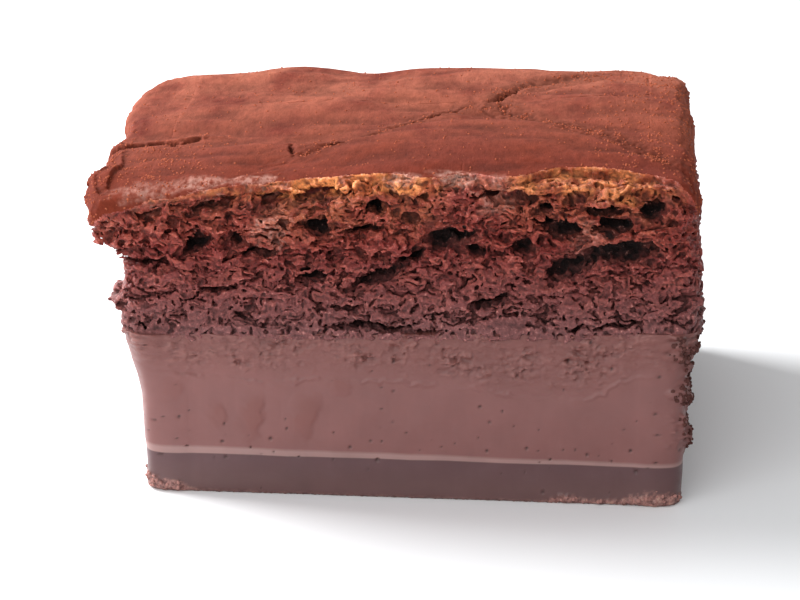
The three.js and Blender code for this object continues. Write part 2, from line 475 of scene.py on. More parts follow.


# Baked chocolate custard cut with a knife: dense and satin-smooth with a soft moist sheen, mottled
# towards the sponge, with painted highlights on its small lumps and painted shade in its pits, dents
# and the gaps of its browned skin. The three layers share it, so that their colours run into each other.
def makeSetCustard(name):
    material, add, place = newMaterial(name)
    look = {key: linearColour(code) for key, code in custardLook.items()}
    labels = ("aboveBase", "aboveSeam", "underSponge", "upper", "lobe", "pit", "raised", "browned")
    marks = colourMarks(add, labels)
    clouds = add(noiseNode, {"Vector": place, "Scale": 0.16, "Detail": 4, "Roughness": 0.6})
    flattened = add(vectorNode, [place, (0.8, 0.8, 1.6)], operation="MULTIPLY")
    mottle = add(noiseNode, {"Vector": flattened, "Scale": 1.0, "Detail": 5, "Roughness": 0.65})
    grain = add(noiseNode, {"Vector": place, "Scale": 4.0, "Detail": 2, "Roughness": 0.6})
    specks = add(noiseNode, {"Vector": place, "Scale": 1.7, "Detail": 3, "Roughness": 0.7})
    spongy = add("POWER", [add(rangeNode, [marks["underSponge"], 8.5, 0.5]), 1.6])
    lowBase = add(rangeNode, [marks["aboveBase"], -0.5, -3.2])
    gapShade = add(rangeNode, [specks, 0.4, 0.52])
    tips = add(rangeNode, [specks, 0.56, 0.7])
    layers = [
        (add("MULTIPLY", [add(rangeNode, [mottle, 0.42, 0.62]), marks["upper"]]), look["mottled"]),
        (add("MULTIPLY", [spongy, 0.75]), look["spongeLike"]),
        (marks["lobe"], look["smear"]),
        (add(rangeNode, [marks["aboveSeam"], 0.15, -0.25]), look["pale"]),
        (
            add(rangeNode, [marks["aboveBase"], 0.06, -0.06]),
            painted(add, look["base"], [(lowBase, look["baseLow"])]),
        ),
        (marks["browned"], painted(add, look["skinGapShade"], [(gapShade, look["skin"]), (tips, look["skinPale"])])),
        (marks["raised"], look["raised"]),
        (marks["pit"], look["pit"]),
    ]
    colour = painted(add, look["body"], layers)
    tone = add(rangeNode, [clouds, 0.3, 0.7, 0.92, 1.08])
    roughness = add("MULTIPLY_ADD", [marks["upper"], 0.2, 0.03])
    height = add("MULTIPLY_ADD", [grain, roughness, add("MULTIPLY", [mottle, marks["upper"]])])
    values = {
        "Base Color": add(vectorNode, {0: colour, "Scale": tone}, operation="SCALE"),
        "Roughness": add(rangeNode, [mottle, 0.35, 0.65, 0.52, 0.38]),
        "Normal": add("ShaderNodeBump", {"Height": height, "Strength": 0.6, "Distance": 0.25 * mm}),
        "IOR": 1.42,
        "Subsurface Weight": 0.15,
        "Subsurface Radius": (1.0, 0.4, 0.3),
        "Subsurface Scale": 0.6 * mm,
    }
    shade(add, values)
    return material


tornCrumb = makeTornCrumb()
cocoaCrust = makeCocoaCrust()
balledCocoa = makeCrumbs("balledCocoa", "#9a5038")
footCrumb = makeCrumbs("bakedFlanCrumb", "#9c716a")
sideCrumb = makeCrumbs("draggedSpongeCrumb", "#50322e")
setCustard = makeSetCustard("setChocolateCustard")
paleSeam = makeSetCustard("paleCustardSeam")
flanBase = makeSetCustard("denseFlanBase")

# The skin of the crust: how thick it is, how far it stands over the crumb, how far it hangs down
# the sides and the back, and its folds and slits
crust = {
    "thick": 0.8,
    "proud": 0.25,
    "skirtLeft": 3.0,
    "skirtRight": 1.2,
    "skirtBack": 3.2,
    "ragged": 1.1,  # how much its torn edge wanders
    "foldDepth": 0.35,
    "foldWidth": 1.4,
    "crackDepth": 1.9,
    "crackWidth": 0.62,
    "rollWidth": 0.9,  # over which a pillow rises over its neighbour
    "swell": 1.7,  # its broad ups and downs
    "crinkle": 0.12,
    "granuleCell": 0.75,  # width of the coarse grains along the folds
    "combCell": 0.8,  # width of the toasted comb's holes
}
# Where the skin is torn off along the front: across, and how far back from the rim (or down, if negative)
frontTear = [
    (-36, -2.3), (-30, -1.3), (-25.6, -0.4), (-20.7, 1.2), (-17.4, 2.0), (-11, 2.6), (-5, 1.8), (0, 1.2),
    (5, 0.7), (7.6, 2.2), (12, 0.6), (16, 2.0), (21, 4.0), (26, 3.6), (31, 2.2), (36, 0.8),
]
# How golden the torn edge is, across the front
frontGold = [
    (-36, 0.35), (-24, 0.4), (-17, 0.5), (-13, 0.75), (-11, 1), (1, 1), (5, 0.45), (9, 0.15), (13, 0.45),
    (16, 0.72), (28, 0.68), (30.5, 0.35), (36, 0.1),
]
# How far down from the rim the gold reaches, across the front
goldReach = [
    (-36, 0.3), (-24, 0.4), (-17, 0.4), (-12, 0.9), (1, 1.1), (6, 0.6), (10, 0.5), (14, 0.8), (17, 1.3),
    (28, 1.4), (30.5, 0.6), (36, 0.3),
]


# Rows of a table as dictionaries
def table(keys, rows):
    return [dict(zip(keys.split(), row)) for row in rows]


# Folds and slits of the crust seen from above; the third number makes a slit finer
folds = [
    [(-11.4, -18.8, 0), (-7.1, -15.5, 0), (-1.2, -6.8, 0), (3.9, -0.3, 0), (6.8, 4.0, 0)],
    [(6.8, 4.0, 0), (10.5, 2.9, 0), (15.6, -4.0, 0), (21.7, -10.1, 0), (27.7, -17.9, 0), (30.9, -23.4, 0)],
    [(10.0, 5.9, 0), (12.0, 12.4, 0), (15.6, 18.1, 0), (20.0, 21.3, 0), (27.7, 24.9, 0)],
]
slits = [
    [(-38, -8.6, 0.2), (-32.8, -8.8, 0.15), (-29.7, -8.4, 0.15), (-27.1, -9.7, 0.1), (-25.3, -7.8, 0.3)],
    [(-28, -8.8, 0.25), (-28.3, -11.2, 0.25), (-26.8, -12.6, 0.45)],
    [(-13.6, -13.4, 0.5), (-13.3, -16.5, 0.4), (-12.8, -19.2, 0.6)],
    [(-1.2, -6.8, 0.5), (1.6, -3, 0.15), (3.9, -0.3, 0.1), (5.6, 2, 0.4)],
    [(9.4, 5.0, 0.2), (10.6, 8.0, 0), (11.4, 10.4, 0.2), (12.6, 13.0, 0.5)],
    [(-9.0, -16.6, 0.5), (-6.4, -14.6, 0.4)],
]
# Bubbles of the crumb, from large to small: cell width, radius as a share of it, how far behind the
# torn face they reach, and between which heights over the custard they grow to full size
bubbles = table("cell radius spread reach from full", [
    (4.8, 0.44, 0.36, 2.2, 6.5, 11), (2.4, 0.42, 0.34, 1.5, 4.0, 9), (1.2, 0.38, 0.3, 1.0, 1.0, 7),
])
# The torn face: between which heights over the custard the crumb opens up, how rough it is where it is
# pressed and how much rougher where it is open, and how far it lies inside the outer form
tornFace = {"opens": (2.5, 9.0), "rough": 1.3, "rougher": 2.4, "pressedLumps": 0.55, "inside": 0.12}
roughMiddle = 0.46  # the noise's own middle
# Over how many millimetres one form runs into another
blends = {
    "bubble": 0.12,
    "crevice": 0.05,
    "cavern": 0.1,
    "flake": 0.2,
    "pillow": 1.5,
    "comb": 0.1,
    "skin": 0.12,
}
# Lumps of the torn face: cell width and how far they stand out
tornLumps = [(2.6, 0.8), (1.25, 0.34)]
# Flat crevices of the torn face: cell width, widest gap and how far behind the face they reach
crevices = [(2.6, 0.36, 1.4), (1.25, 0.18, 0.7)]
# Caverns torn open behind the front face: middle across and up, half sizes and slope in degrees
caverns = table("x z long high slope", [
    (-8.7, 32.4, 1.7, 1.0, -12), (-4.0, 32.2, 2.0, 0.5, 4), (-2.3, 34.9, 1.1, 0.6, 10),
    (6.3, 31.5, 3.0, 1.2, 14), (9.4, 30.3, 1.2, 0.9, -30), (1.8, 29.0, 2.2, 0.6, 24),
    (-9.6, 26.6, 2.0, 0.8, 8), (-1.6, 26.9, 3.2, 0.7, 20), (17.1, 33.6, 1.5, 0.6, 0),
    (17.0, 35.2, 1.2, 0.5, 0), (14.6, 30.6, 1.6, 0.9, 12), (20.2, 28.4, 3.2, 1.3, 24),
    (25.8, 30.5, 4.2, 1.4, 4), (19.6, 33.0, 1.6, 1.1, 10), (24.6, 33.6, 2.4, 0.8, 0),
    (29.3, 35.7, 1.5, 1.1, 30), (23.5, 35.4, 2.2, 0.6, 0), (-18.4, 30.9, 1.2, 0.9, 50),
    (-22.8, 29.7, 2.2, 0.8, 24), (-28.2, 27.6, 2.4, 0.35, 0), (-15.6, 29.2, 2.3, 0.5, 8),
    (-20.4, 35.0, 3.0, 0.5, 14), (-14.2, 35.4, 2.0, 0.7, 10), (-8.4, 36.2, 3.4, 0.7, 6),
    (-20.5, 25.0, 1.8, 0.35, 6), (-5.0, 23.2, 1.6, 0.4, 10), (10.6, 24.2, 2.2, 0.5, 14),
    (-1.2, 20.75, 6.4, 0.34, -1), (21.4, 21.5, 1.4, 0.3, 16), (24.2, 21.7, 1.2, 0.3, 20),
    (27.0, 22.2, 1.5, 0.26, 14),
])
cavernSize = {"deep": 3.8, "ahead": 0.4, "longer": 1.15, "higher": 1.2}
# Flakes that stand out from the sides: middle and half sizes
flakes = table("at half", [
    ((-36.6, -31.2, 32.7), (1.5, 0.9, 0.32)), ((-35.2, -30.8, 32.4), (1.6, 1.6, 0.6)),
    ((-33.4, -30.6, 25.0), (0.9, 0.8, 0.4)), ((-32.2, -31.2, 18.9), (0.9, 0.7, 0.6)),
    ((34.9, -30.6, 27.6), (0.8, 0.7, 0.4)), ((35.0, -30.2, 24.6), (0.9, 0.8, 0.5)),
])
# Pale places on the front: across, back from the rim (or down), half sizes and how pale
films = table("x s long wide pale", [
    (-16.4, 3.4, 3.4, 1.3, 0.8), (-22.6, 2.8, 4.0, 2.0, 0.7), (-28.4, 1.2, 4.6, 2.4, 0.5),
    (0.8, 1.0, 2.8, 0.9, 0.7), (6.8, 1.6, 2.7, 1.6, 0.8), (11.4, -0.8, 2.8, 2.2, 0.38),
    (-13.9, -3.4, 2.6, 2.4, 0.4), (22.0, -5.6, 2.8, 1.9, 0.22),
])
# How far the right side draws in, by height, and how much fuller the front left shoulder is
drawnIn = [(18, 0.3), (21, 0.7), (23.4, 0.6), (25.2, 0), (29, 0), (31, 0.4), (34, 0.8), (42, 0.8)]
fullShoulder = 1.0
leftIn = 0.4  # how far the left side draws in below the crust, towards the front
# How much fuller the back left corner is, and between which places that fades in: across, from the front,
# from the back and up
fullCorner = {"by": 0.9, "ramps": [(-14, -26), (0, 9), (30, 22), (25, 34)]}
fringe = {"proud": 0.24, "low": -0.5, "ragged": 2.0}  # where the crumb ends over the custard

foldLines = lineObject("foldLines", folds)
slitLines = lineObject("slitLines", slits)


# Where a place lies in an ellipsoid, and how far out, with 1 at its face; slope, in degrees, turns it
def inEllipsoid(add, place, middle, halves, axis=None, slope=0):
    place = add(vectorNode, [place, middle], operation="SUBTRACT")
    if axis:
        turn = {"Vector": place, "Angle": math.radians(slope)}
        place = add("ShaderNodeVectorRotate", turn, rotation_type=axis)
    place = add(vectorNode, [place, halves], operation="DIVIDE")
    return place, add(vectorNode, [place], operation="LENGTH").outputs["Value"]


# How far a value is over a limit, or 0
def over(add, value, limit):
    return add("MAXIMUM", [add("SUBTRACT", [value, limit]), 0.0])


# A place moved to any side by a noise
def shakenBy(add, noise, amounts, place):
    shift = add(vectorNode, [noise.outputs["Color"], noiseMiddle], operation="SUBTRACT")
    return add(vectorNode, [shift, amounts, place], operation="MULTIPLY_ADD")


# A value that follows points across the cake as a soft curve; lowest and highest bound it
def alongCurve(add, spotX, points, lowest, highest):
    half = 38  # how far the curve spans to either side
    share = add(rangeNode, [spotX, -half, half])
    node = add("ShaderNodeFloatCurve", {"Value": share})
    curve = node.mapping.curves[0]
    places = [((x + half) / (2 * half), (value - lowest) / (highest - lowest)) for x, value in points]
    places = [(0, places[0][1]), *places, (1, places[-1][1])]
    while len(curve.points) < len(places):
        curve.points.new(0.5, 0.5)
    for point, place in zip(curve.points, places):
        point.location = place
        point.handle_type = "AUTO_CLAMPED"
    node.mapping.update()
    return add(rangeNode, [node, 0, 1, lowest, highest])


# Pillows that roll over their neighbours: each is the area in front of its lines, given as a place on
# the line and the way in from it; near keeps it close to a slit
rolls = [
    {"rise": 0.25, "lines": [((6.8, 4.0, 0), (0.781, -0.623, 0)), ((6.8, 4.0, 0), (-0.751, -0.66, 0))]},
    {"rise": 0.4, "lines": [((6.8, 4.0, 0), (0.707, -0.707, 0)), ((6.8, 4.0, 0), (0.751, 0.66, 0))]},
    {"rise": 0.4, "lines": [((-30.0, -8.8, 0), (-0.08, 0.997, 0))], "near": 5.0},
]

# The slabs that the sponge is meshed in
slabs = {
    "margin": 1.2,
    "frontDeep": 6.4,
    "frontPieces": 5,
    "sideDeep": 7.0,
    "sideSplit": 4.0,  # where the finer part of the sides ends
    "backDeep": 5.0,
    "topDeep": 6.6,
    "topSplit": 6.0,  # where the finer part of the top ends
    "lap": 0.4,  # how far neighbours reach into each other
    "fine": 0.17,  # width of a voxel at the front
    "crustFine": 0.18,
    "middling": 0.22,
    "coarse": 0.3,
    "sunk": 2.2,  # how far the sponge reaches down behind the custard's rim
    "merging": 0.04,  # how readily small faces of flat places are merged
    "crustMerging": 0.012,
    "draft": 1.5,
}


# The boxes that the sponge is meshed in: low corner, high corner and voxel
def slabPlan():
    left, right = crown["left"] - slabs["margin"], crown["right"] + slabs["margin"]
    front, back = crown["front"] - slabs["margin"], crown["back"] + slabs["margin"]
    bottom, top = lows["sponge_layer"].z - slabs["sunk"] - 1, crown["top"] + slabs["margin"]
    frontEnd, backStart = crown["front"] + slabs["frontDeep"], crown["back"] - slabs["backDeep"]
    leftEnd, rightStart = crown["left"] + slabs["sideDeep"], crown["right"] - slabs["sideDeep"]
    under, split, lap = crown["top"] - slabs["topDeep"], slabs["topSplit"], slabs["lap"]
    fine, middling, coarse = slabs["fine"], slabs["middling"], slabs["coarse"]
    plan = {}
    width = (right - left) / slabs["frontPieces"]
    for i in range(slabs["frontPieces"]):
        start = left + i * width
        plan[f"sponge_front_{i + 1}"] = ((start, front, bottom), (start + width + lap, frontEnd, top), fine)
    sideFront, sideBack, topLeft, topRight = frontEnd - lap, backStart + lap, leftEnd - lap, rightStart + lap
    halfway = slabs["sideSplit"]
    for side, low, high in (("left", left, leftEnd), ("right", rightStart, right)):
        plan[f"sponge_{side}_1"] = ((low, sideFront, bottom), (high, halfway + lap, top), middling)
        plan[f"sponge_{side}_2"] = ((low, halfway, bottom), (high, sideBack, top), coarse)
    plan["sponge_back"] = ((left, backStart, bottom), (right, back, top), coarse)
    crustFine = slabs["crustFine"]
    plan["sponge_top_front"] = ((topLeft, sideFront, under), (topRight, split + lap, top), crustFine)
    plan["sponge_top_back"] = ((topLeft, split, under), (topRight, sideBack, top), coarse)
    return plan


# Torn sponge with its crust, as a field of millimetres inside the solid that is then meshed.
# Every slab of the cake is cut from the same field.
def spongeTree():
    objects = {label: ("Object", None) for label in ("Outer", "Walls", "Rim", "Folds", "Slits")}
    sizes = {
        "Voxel": 0.3,
        "Merging": slabs["merging"],
        "Bottom": 18.0,
        "Skin Thick": crust["thick"],
        "Skin Proud": crust["proud"],
        "Ragged": crust["ragged"],
        "Fold Depth": crust["foldDepth"],
        "Fold Width": crust["foldWidth"],
        "Crack Depth": crust["crackDepth"],
        "Crack Width": crust["crackWidth"],
        "Roll Width": crust["rollWidth"],
    }
    corners = {"Low Corner": ("Vector", (0, 0, 0)), "High Corner": ("Vector", (1, 1, 1))}
    floats = {label: ("Float", value) for label, value in sizes.items()}
    tree, add, given = newTree("tornSponge", {**objects, **corners, **floats})

    # How deep a place lies in the outer form and behind its walls, and which way the nearest face looks.
    # Towards the back left the form is looked up further in, so that its corner comes out fuller.
    here = add("GeometryNodeInputPosition")
    spotX, spotY, spotZ = add(splitNode, [here]).outputs
    fuller = fullCorner["by"]
    for axis, (start, full) in zip((spotX, spotY, spotY, spotZ), fullCorner["ramps"]):
        ramp = add(rangeNode, [axis, start, full], **soft)
        fuller = add("MULTIPLY", [ramp, fuller])
    fuller = add(joinNode, [fuller])
    inner = add(vectorNode, [here, fuller], operation="ADD")
    shapes = {}
    for label in ("Outer", "Walls"):
        info = add(infoNode, {"Object": given[label]})
        shapes[label] = add(changeNode, {"Geometry": info.outputs["Geometry"], "Scale": (1 / mm,) * 3})
    near = add(nearNode, {"Target": shapes["Outer"], "Source Position": inner}, target_element="FACES")
    normal = add("GeometryNodeInputNormal")
    softened = add("GeometryNodeBlurAttribute", {"Value": normal, "Iterations": 2}, data_type="FLOAT_VECTOR")
    facings = []
    for value in (normal, softened):
        lookup = {"Mesh": shapes["Outer"], "Value": value, "Sample Position": inner}
        facings.append(add("GeometryNodeSampleNearestSurface", lookup, data_type="FLOAT_VECTOR"))
    towards = add(vectorNode, [near.outputs["Position"], inner], operation="SUBTRACT")
    inward = add(vectorNode, [towards, facings[0]], operation="DOT_PRODUCT").outputs["Value"]
    plainDepth = add("MULTIPLY", [near.outputs["Distance"], add("SIGN", [inward])])
    lookup = {"Target": shapes["Walls"], "Source Position": here}
    behind = add(nearNode, lookup, target_element="FACES").outputs["Distance"]
    aimX, aimY, aimZ = add(splitNode, [facings[1]]).outputs

    # The right side draws in here and there, and the left shoulder is fuller and scalloped
    rightward = add(rangeNode, [aimX, 0.3, 0.95])
    lifted = 10.0  # brings the heights into the span of the curve
    drawn = [(z - lifted, inward) for z, inward in drawnIn]
    drawn = alongCurve(add, add("SUBTRACT", [spotZ, lifted]), drawn, 0, 1)
    drawn = add("MULTIPLY", [drawn, rightward])
    shoulder = add("MULTIPLY", [aimX, aimZ])
    shoulder = add(rangeNode, [shoulder, -0.08, -0.48, 0, fullShoulder], **soft)
    atFront = add(rangeNode, [spotY, -8.0, -24.0, 0.2])
    fade = [spotY, crown["front"] + 0.5, crown["front"] + 5.0]
    offFront = add(rangeNode, fade, **soft)
    shoulder = add("MULTIPLY", [shoulder, atFront])
    scallops = add(noiseNode, {"Vector": here, "Scale": 0.3, "Detail": 3, "Roughness": 0.6})
    scallops = add("MULTIPLY_ADD", [scallops, 1.8, -0.8])
    below = add("MULTIPLY", [add(rangeNode, [spotZ, 36.6, 34.8, 0, leftIn]), atFront])
    scallops = add("SUBTRACT", [scallops, below])
    leftward = add(rangeNode, [aimX, -0.3, -0.9])
    shoulder = add("MULTIPLY", [add("MULTIPLY_ADD", [scallops, leftward, shoulder]), offFront])
    shift = add("SUBTRACT", [shoulder, drawn])
    depth = add("ADD", [plainDepth, shift])

    # How far below the rim of the crust it lies, and how far in from the front, over or down the rim
    info = add(infoNode, {"Object": given["Rim"]})
    lookup = {"Target": info.outputs["Geometry"], "Source Position": here}
    rimNear = add(nearNode, lookup, target_element="EDGES").outputs["Position"]
    drop = add("SUBTRACT", [add(splitNode, [rimNear]).outputs[2], spotZ])
    inFromFront = add("SUBTRACT", [spotY, foot["front"] - 0.8])
    along = add("SUBTRACT", [inFromFront, add("MAXIMUM", [drop, 0.0])])

    # How high over the custard it lies, and how open the crumb is there: pressed below, airy above
    floorZ = add("MULTIPLY_ADD", [spotX, custardRim["slope"], custardRim["middle"]])
    level = add("SUBTRACT", [spotZ, floorZ])
    airy = add(rangeNode, [level, *tornFace["opens"]], **soft)

    # Places shaken by slow noise, so that bubbles and caverns aren't round
    shake = add(noiseNode, {"Vector": here, "Scale": 0.45, "Detail": 2})
    shaken = shakenBy(add, shake, (3.2, 3.2, 2.2), here)
    frizz = add(noiseNode, {"Vector": here, "Scale": 1.1, "Detail": 3, "Roughness": 0.6})
    frizzed = shakenBy(add, frizz, (1.6, 1.6, 1.6), shaken)
    flattened = add(vectorNode, [shaken, (1, 1, 1.8)], operation="MULTIPLY")
    pressed = add(vectorNode, [shaken, (0.72, 0.85, 2.4)], operation="MULTIPLY")

    # The torn face lies a little inside the outer form, in lumps
    rough = add(noiseNode, {"Vector": flattened, "Scale": 0.36, "Detail": 5, "Roughness": 0.5})
    roughSize = add("MULTIPLY_ADD", [airy, tornFace["rougher"], tornFace["rough"]])
    lumpy = add("MULTIPLY_ADD", [airy, 1 - tornFace["pressedLumps"], tornFace["pressedLumps"]])
    offCentre = add("SUBTRACT", [rough, roughMiddle])
    tear = add("MULTIPLY_ADD", [offCentre, roughSize, tornFace["inside"]])
    for cell, size in tornLumps:
        lumps = add(cellNode, {"Vector": pressed, "Scale": 1 / cell})
        pick = add("SUBTRACT", [add("FunctionNodeSeparateColor", [lumps.outputs["Color"]]), 0.5])
        pick = add("MULTIPLY", [pick, lumpy])
        tear = add("MULTIPLY_ADD", [pick, size, tear])
    lowTear = add("MULTIPLY_ADD", [offCentre, tornFace["rough"], -fringe["proud"]])
    lowShare = add(rangeNode, [level, 1.8, 0.2])
    tear = add("ShaderNodeMix", {0: lowShare, 2: tear, 3: lowTear}, data_type="FLOAT")
    crumb = add("SUBTRACT", [depth, tear])

    for size in bubbles:
        cells = add(cellNode, {"Vector": flattened, "Scale": 1 / size["cell"]})
        chance = add("FunctionNodeSeparateColor", [cells.outputs["Color"]])
        shown = add(rangeNode, [level, size["from"], size["full"]])
        radius = add("MULTIPLY_ADD", [chance, -size["spread"] * size["cell"], size["radius"] * size["cell"]])
        radius = add("MULTIPLY", [radius, shown])
        distance = add("MULTIPLY", [cells.outputs["Distance"], size["cell"]])
        wall = add("SUBTRACT", [distance, radius])
        far = over(add, behind, size["reach"])
        wall = add("ADD", [wall, far])
        crumb = add("SMOOTH_MIN", [crumb, wall, blends["bubble"]])

    # Flat crevices between the pressed lumps, open here and closed there
    gate = add(noiseNode, {"Vector": shaken, "Scale": 0.42, "Detail": 2})
    gate = add("SUBTRACT", [gate, add(rangeNode, [aimY, -0.6, 0.0, 0, 0.09])])
    for cell, widest, reach in crevices:
        gap = add(cellNode, {"Vector": pressed, "Scale": 1 / cell}, feature="DISTANCE_TO_EDGE")
        width = add(rangeNode, [gate, 0.38, 0.64, -0.14, widest])
        gap = add("SUBTRACT", [add("MULTIPLY", [gap, cell]), width])
        far = over(add, behind, reach)
        closed = add(rangeNode, [level, 1.2, 0.0])
        far = add("MULTIPLY_ADD", [closed, 0.6, far])
        gap = add("ADD", [gap, far])
        crumb = add("SMOOTH_MIN", [crumb, gap, blends["crevice"]])

    for cavern in caverns:
        middle = (cavern["x"], foot["front"] - cavernSize["ahead"], cavern["z"])
        long, high = cavernSize["longer"] * cavern["long"], cavernSize["higher"] * cavern["high"]
        halves = (long, cavernSize["deep"], high)
        _, reach = inEllipsoid(add, frizzed, middle, halves, "Y_AXIS", cavern["slope"])
        hole = add("MULTIPLY_ADD", [reach, min(halves), -min(halves)])
        crumb = add("SMOOTH_MIN", [crumb, hole, blends["cavern"]])

    for flake in flakes:
        _, reach = inEllipsoid(add, shaken, flake["at"], flake["half"])
        least = min(flake["half"])
        lump = add("MULTIPLY_ADD", [reach, -least, least])
        crumb = add("SMOOTH_MAX", [crumb, lump, blends["flake"]])

    # The skin's torn edge: positive under the skin
    skirt = add("MULTIPLY", [aimZ, 6.0])
    for label, axis, way in (("skirtBack", aimY, 1), ("skirtLeft", aimX, -1), ("skirtRight", aimX, 1)):
        share = add("MAXIMUM", [add("MULTIPLY", [axis, way]), 0.0])
        share = add("POWER", [share, 2.0])
        skirt = add("MULTIPLY_ADD", [share, crust[label], skirt])
    forward = add("MAXIMUM", [add("MULTIPLY", [aimY, -4.0]), 0.0])
    skirt = add("ADD", [skirt, forward])
    otherEdge = add("SUBTRACT", [skirt, drop])
    tornBack = alongCurve(add, spotX, frontTear, -6, 6)
    frontEdge = add("SUBTRACT", [along, tornBack])
    frayed = add(noiseNode, {"Vector": here, "Scale": 0.6, "Detail": 5, "Roughness": 0.65})
    frayed = add("MULTIPLY", [add("SUBTRACT", [frayed, 0.5]), given["Ragged"]])
    edge = add("MULTIPLY_ADD", [frayed, 2.0, add("MINIMUM", [otherEdge, frontEdge])])

    # Pale places of the front, where a thin skin closes the crumb
    film = 0.0
    veil = add(noiseNode, {"Vector": here, "Scale": 0.9, "Detail": 3})
    facingFront = add(rangeNode, [inFromFront, 7, 5])
    frontPlace = add(joinNode, {0: spotX, 1: along})
    for patch in films:
        halves = (patch["long"], patch["wide"], 1)
        _, reach = inEllipsoid(add, frontPlace, (patch["x"], patch["s"], 0), halves)
        reach = add("MULTIPLY_ADD", [veil, 1.6, reach])
        film = add("MAXIMUM", [add(rangeNode, [reach, 1.8, 1.35, 0, patch["pale"]]), film])
    film = add("MULTIPLY", [film, facingFront])

    # Folds, cracks and pillows of the crust, seen from above
    plan = add(joinNode, {0: spotX, 1: spotY})
    wavy = add(noiseNode, {"Vector": plan, "Scale": 0.55, "Detail": 4, "Roughness": 0.6})
    planShaken = shakenBy(add, wavy, (2.4, 2.4, 0), plan)
    grooves = []
    for label in ("Folds", "Slits"):
        info = add(infoNode, {"Object": given[label]})
        lookup = {"Target": info.outputs["Geometry"], "Source Position": planShaken}
        grooves.append(add(nearNode, lookup, target_element="EDGES").outputs["Distance"])
    ragged = add(noiseNode, {"Vector": here, "Scale": 1.5, "Detail": 3, "Roughness": 0.6})
    ragged = add("SUBTRACT", [ragged, 0.5])
    grooves[1] = add("MULTIPLY_ADD", [ragged, 0.8, grooves[1]])
    foldCut = [grooves[0], 0, given["Fold Width"], given["Fold Depth"], 0]
    foldCut = add(rangeNode, foldCut, **soft)
    crackCut = add(rangeNode, [grooves[1], 0.1, given["Crack Width"], given["Crack Depth"], 0])
    cut = add("ADD", [foldCut, crackCut])
    overRim = add(rangeNode, [drop, 3.0, 0.8])
    cut = add("MULTIPLY", [cut, overRim])
    for roll in rolls:
        inside = 100.0
        for place, way in roll["lines"]:
            offset = add(vectorNode, [planShaken, place], operation="SUBTRACT")
            reach = add(vectorNode, [offset, way], operation="DOT_PRODUCT").outputs["Value"]
            inside = add("SMOOTH_MIN", [reach, inside, blends["pillow"]])
        lift = add(rangeNode, [inside, -0.15, given["Roll Width"]], interpolation_type="SMOOTHERSTEP")
        lift = add("MULTIPLY", [lift, overRim])
        nearSlit = add(rangeNode, [grooves[1], roll.get("near", 500), 0.5], **soft)
        lift = add("MULTIPLY", [lift, nearSlit])
        cut = add("MULTIPLY_ADD", [lift, -roll["rise"], cut])
    slow = add(vectorNode, [here, (0.08, 0.16, 0.16)], operation="MULTIPLY")
    swell = add(noiseNode, {"Vector": slow, "Scale": 1, "Detail": 0.6})
    swell = add("MULTIPLY_ADD", [swell, crust["swell"], -crust["swell"] / 2])
    drawnOut = add(vectorNode, [here, (1, 0.45, 1)], operation="MULTIPLY")
    crinkle = add(noiseNode, {"Vector": drawnOut, "Scale": 1.2, "Detail": 4, "Roughness": 0.62})
    crinkle = add("MULTIPLY_ADD", [crinkle, crust["crinkle"], -crust["crinkle"] / 2])
    nearFold = add(rangeNode, [grooves[0], 2.2, 0.3])
    granules = add(cellNode, {"Vector": here, "Scale": 1 / crust["granuleCell"]})
    granules = add("MULTIPLY_ADD", [granules, 0.45, -0.2])
    crinkle = add("MULTIPLY_ADD", [granules, nearFold, crinkle])
    relief = add("ADD", [add("ADD", [swell, crinkle]), cut])
    surface = add("SUBTRACT", [add("ADD", [depth, given["Skin Proud"]]), relief])
    under = add("SUBTRACT", [given["Skin Thick"], depth])
    skin = add("MINIMUM", [add("MINIMUM", [surface, under]), edge])

    # Where the skin is torn off, the toasted crumb under it shows as a fine comb
    comb = add(vectorNode, [shaken, (1, 1, 0.55)], operation="MULTIPLY")
    comb = add(cellNode, {"Vector": comb, "Scale": 1 / crust["combCell"]})
    comb = add("MULTIPLY_ADD", [comb, 0.8, -0.3])
    tooLow = over(add, surface, 2.4)
    covered = add("MAXIMUM", [add("ADD", [edge, 0.3]), 0.0])
    kept = add("ADD", [add("MULTIPLY_ADD", [film, 0.5, covered]), tooLow])
    comb = add("ADD", [comb, kept])
    crumb = add("SMOOTH_MIN", [crumb, comb, blends["comb"]])
    lost = add(rangeNode, [edge, 0.2, -1.6, 0.15, 0.75])
    fade = add(rangeNode, [drop, 2.4, 0.4])
    lost = add("MULTIPLY", [lost, fade])
    ceiling = add("SUBTRACT", [surface, lost])
    crumb = add("MINIMUM", [crumb, ceiling])
    body = add("SMOOTH_MAX", [crumb, skin, blends["skin"]])

    # Over the custard the crumb ends in a ragged line, and dives behind the custard's face
    rags = add(noiseNode, {"Vector": here, "Scale": 0.8, "Detail": 5, "Roughness": 0.65})
    line = add("MULTIPLY_ADD", [rags, -2 * fringe["ragged"], fringe["low"] + fringe["ragged"]])
    line = add("MINIMUM", [line, fringe["low"]])
    dive = over(add, line, level)
    body = add("MULTIPLY_ADD", [dive, -1.6, body])
    overFloor = add("SUBTRACT", [spotZ, given["Bottom"]])
    body = add("MINIMUM", [body, overFloor])

